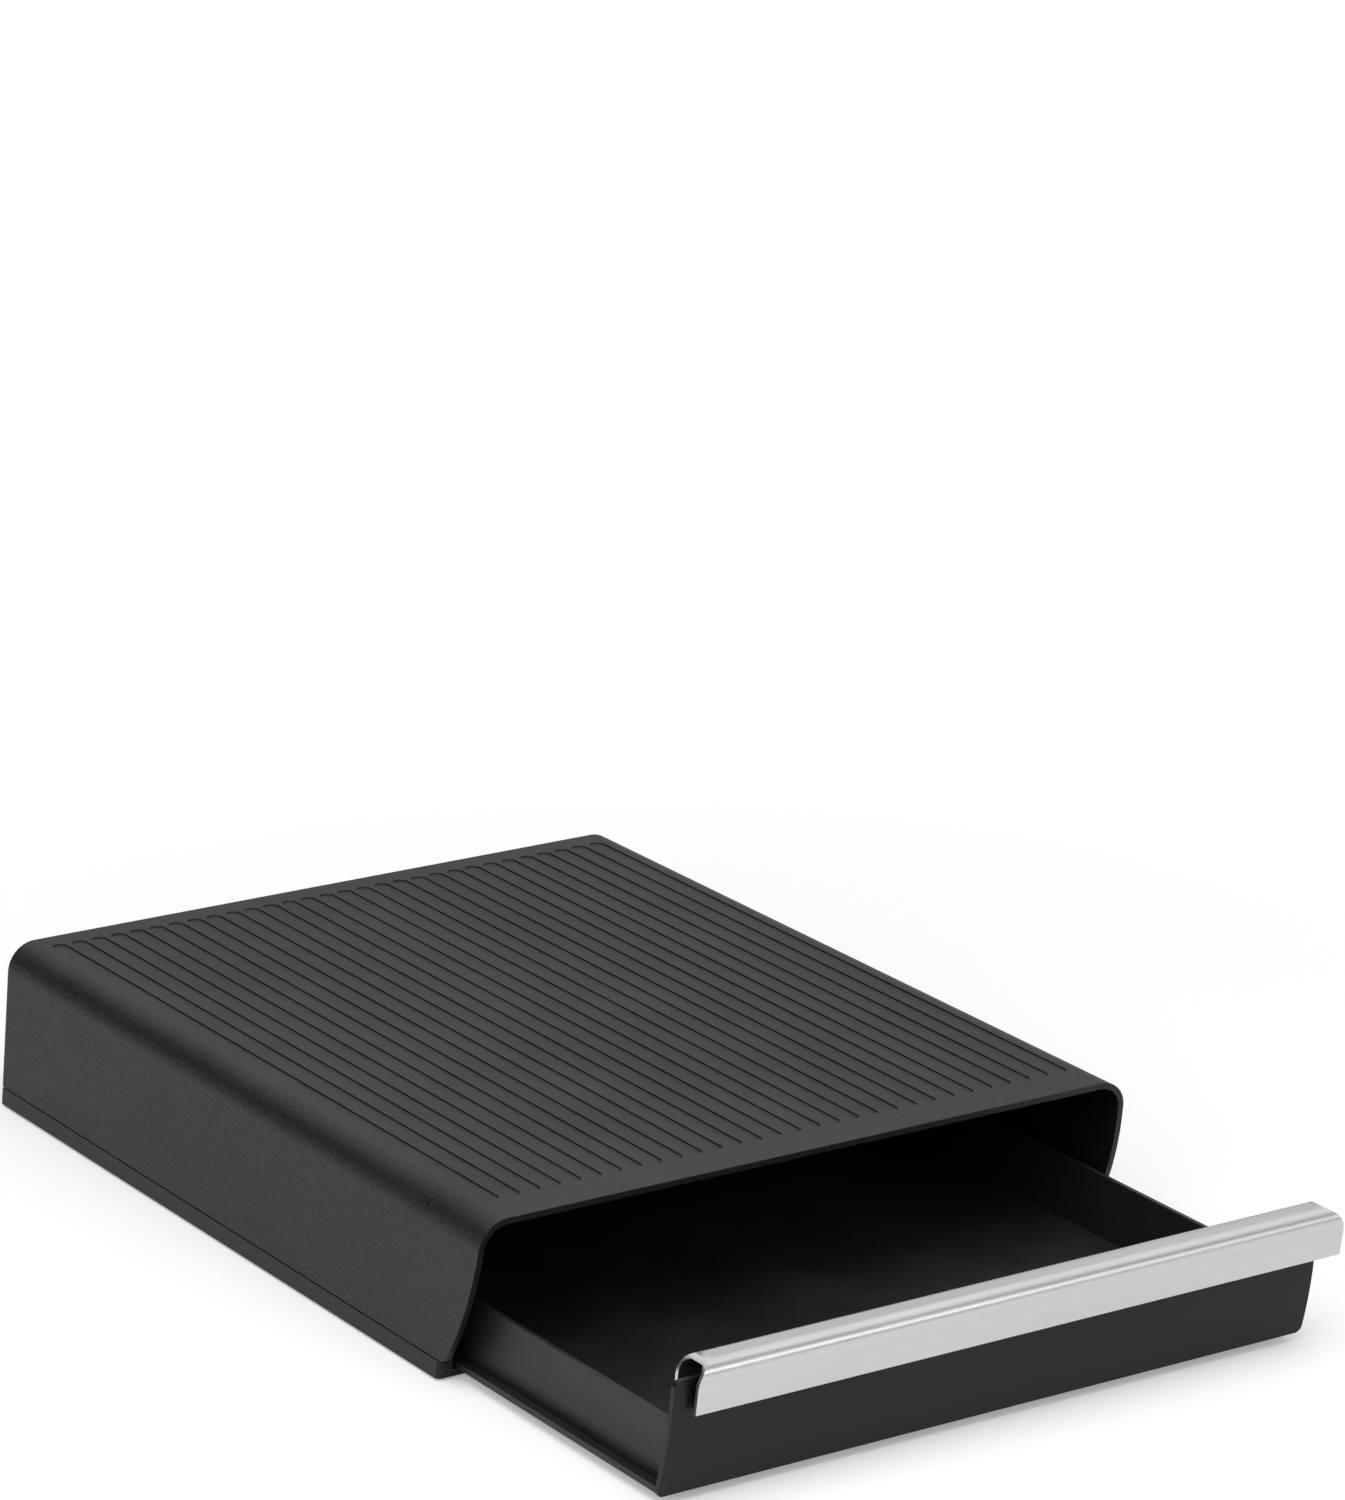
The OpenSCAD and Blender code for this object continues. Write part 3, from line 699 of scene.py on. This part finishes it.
def camera():
    """The photograph's camera, which the scene then looks through."""
    azimuth, elevation, roll = (
        math.radians(angle) for angle in (CAMERA_AZIMUTH, CAMERA_ELEVATION, CAMERA_ROLL))
    level = math.cos(elevation)
    view = Vector((math.sin(azimuth) * level, math.cos(azimuth) * level, -math.sin(elevation)))
    right = Vector((math.cos(azimuth), -math.sin(azimuth), 0.0))
    up = right.cross(view)
    turned_right = math.cos(roll) * right + math.sin(roll) * up
    turned_up = math.cos(roll) * up - math.sin(roll) * right
    data = bpy.data.cameras.new("photo_camera")
    data.sensor_fit = "VERTICAL"
    data.sensor_height = SENSOR_MM
    data.lens = CAMERA_FOCAL_PX * SENSOR_MM / IMAGE_H
    data.clip_start = CAMERA_NEAR
    data.clip_end = CAMERA_FAR
    holder = linked("photo_camera", data)
    turn = Matrix((turned_right, turned_up, -view)).transposed().to_4x4()
    holder.matrix_world = Matrix.Translation(CAMERA_PLACE * MM) @ turn
    bpy.context.scene.camera = holder


def softbox(name, place, aim, size, power):
    """A rectangular area light that faces a point."""
    data = bpy.data.lights.new(name, "AREA")
    data.shape = "RECTANGLE"
    data.size, data.size_y = size
    data.energy = power
    lamp = linked(name, data)
    lamp.location = place
    lamp.rotation_euler = (Vector(aim) - Vector(place)).to_track_quat("-Z", "Y").to_euler()


def world():
    """A studio: white to the camera, and in reflections dimmer low down, left and in front."""
    data = bpy.data.worlds.new("studio")
    bpy.context.scene.world = data
    data.use_nodes = True
    tree = data.node_tree
    tree.nodes.clear()
    path = tree.nodes.new("ShaderNodeLightPath")
    toward = tree.nodes.new("ShaderNodeTexCoord")
    split = tree.nodes.new("ShaderNodeSeparateXYZ")
    feed(tree.links, split.inputs["Vector"], toward.outputs["Generated"])
    seen = between(tree, split.outputs["Z"], *HORIZON_RANGE, HORIZON_GLOSS, 1.0)
    # A dark flag on the left, low over the horizon, draws the dark band along the cover's bend
    leftward = maths(tree, "MULTIPLY_ADD", split.outputs["X"], FLAG_LEAN, split.outputs["Z"])
    flagged = between(tree, leftward, *FLAG_RANGE, FLAG_GLOSS, 1.0)
    seen = maths(tree, "MULTIPLY", seen, flagged)
    # A darker front draws the thin shade in the grip bar's front fold
    front = between(tree, split.outputs["Y"], *FRONT_RANGE, FRONT_GLOSS, 1.0)
    seen = maths(tree, "MULTIPLY", seen, front)
    mirrored = maths(
        tree, "MAXIMUM", path.outputs["Is Glossy Ray"], path.outputs["Is Transmission Ray"])
    gloss = maths(tree, "MULTIPLY", mirrored, seen)
    plain = maths(tree, "SUBTRACT", 1.0, mirrored)
    light = maths(tree, "MULTIPLY_ADD", plain, WORLD_LIGHT, gloss)
    strength = maths(tree, "MAXIMUM", light, path.outputs["Is Camera Ray"])
    room = tree.nodes.new("ShaderNodeBackground")
    room.inputs["Color"].default_value = WHITE
    output = tree.nodes.new("ShaderNodeOutputWorld")
    feed(tree.links, room.inputs["Strength"], strength)
    feed(tree.links, output.inputs["Surface"], room.outputs["Background"])


def floor_paint():
    """Pale paint that glows to the camera, more so farther out, and is clear from below."""
    material, tree, shader = plain_material("pale_floor")
    shader.inputs["Roughness"].default_value = 0.9
    shader.inputs["Specular IOR Level"].default_value = 0.1
    shader.inputs["Emission Color"].default_value = WHITE
    path = tree.nodes.new("ShaderNodeLightPath")
    reach = tree.nodes.new("ShaderNodeVectorMath")
    reach.operation = "LENGTH"
    feed(tree.links, reach.inputs[0], object_coordinates(tree))
    away = between(tree, reach.outputs["Value"], *FLOOR_REACH, FLOOR_GLOW, 1.0)
    seen = maths(tree, "MULTIPLY", path.outputs["Is Camera Ray"], away)
    glow = maths(tree, "MULTIPLY_ADD", path.outputs["Is Glossy Ray"], FLOOR_GLOSS, seen)
    feed(tree.links, shader.inputs["Emission Strength"], glow)
    mottle = between(tree, noise(tree, FLOOR_GRAINS, detail=2.0), 0.3, 0.7, 0.99, 1.0)
    feed(tree.links, shader.inputs["Base Color"], dimmed(tree, FLOOR_COLOUR, mottle))
    under = tree.nodes.new("ShaderNodeNewGeometry").outputs["Backfacing"]
    feed(tree.links, shader.inputs["Alpha"], maths(tree, "SUBTRACT", 1.0, under))
    return material


def floor():
    """Floor just under the pads, which shows as white and keeps the object's soft shadow."""
    bm = bmesh.new()
    bmesh.ops.create_grid(bm, x_segments=1, y_segments=1, size=FLOOR_SIZE)
    bmesh.ops.translate(bm, verts=bm.verts, vec=(0, 0, BOTTOM_Z - FLOOR_DROP))
    plane = linked("floor", mesh_from(bm, "floor"))
    plane.data.materials.append(floor_paint())


class PODDRAWER_OT_stage(bpy.types.Operator):
    """Camera, floor, world and studio lights"""

    bl_idname = "poddrawer.stage"
    bl_label = "Stage"

    def execute(self, context):
        context.scene.view_settings.view_transform = "Standard"
        camera()
        world()
        floor()
        for name, settings in SOFTBOXES.items():
            softbox(name, *settings)
        return {"FINISHED"}


class PODDRAWER_PT_panel(bpy.types.Panel):
    """The steps that dress the drawer"""

    bl_label = "Pod Drawer"
    bl_space_type = "VIEW_3D"
    bl_region_type = "UI"
    bl_category = "Pod Drawer"

    def draw(self, context):
        for group in (context.scene.pod_sizes, context.scene.pod_colours):
            for key in group.bl_rna.properties.keys():
                if key not in ("rna_type", "name"):
                    self.layout.prop(group, key)
        for step in STEPS:
            self.layout.operator(step.bl_idname)


STEPS = (
    PODDRAWER_OT_cover, PODDRAWER_OT_rails, PODDRAWER_OT_pads, PODDRAWER_OT_screws,
    PODDRAWER_OT_tray, PODDRAWER_OT_panel, PODDRAWER_OT_bar, PODDRAWER_OT_stage,
)
CLASSES = (PodDrawerSizes, PodDrawerColours, *STEPS, PODDRAWER_PT_panel)


def register():
    """Adds the sizes, the colours, the steps and their panel to Blender."""
    for cls in CLASSES:
        bpy.utils.register_class(cls)
    bpy.types.Scene.pod_sizes = bpy.props.PointerProperty(type=PodDrawerSizes)
    bpy.types.Scene.pod_colours = bpy.props.PointerProperty(type=PodDrawerColours)


def unregister():
    """Takes them out again."""
    del bpy.types.Scene.pod_colours
    del bpy.types.Scene.pod_sizes
    for cls in reversed(CLASSES):
        bpy.utils.unregister_class(cls)


def main():
    """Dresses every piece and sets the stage."""
    register()
    for step in STEPS:
        group, name = step.bl_idname.split(".")
        getattr(getattr(bpy.ops, group), name)()


if __name__ == "__main__":
    main()
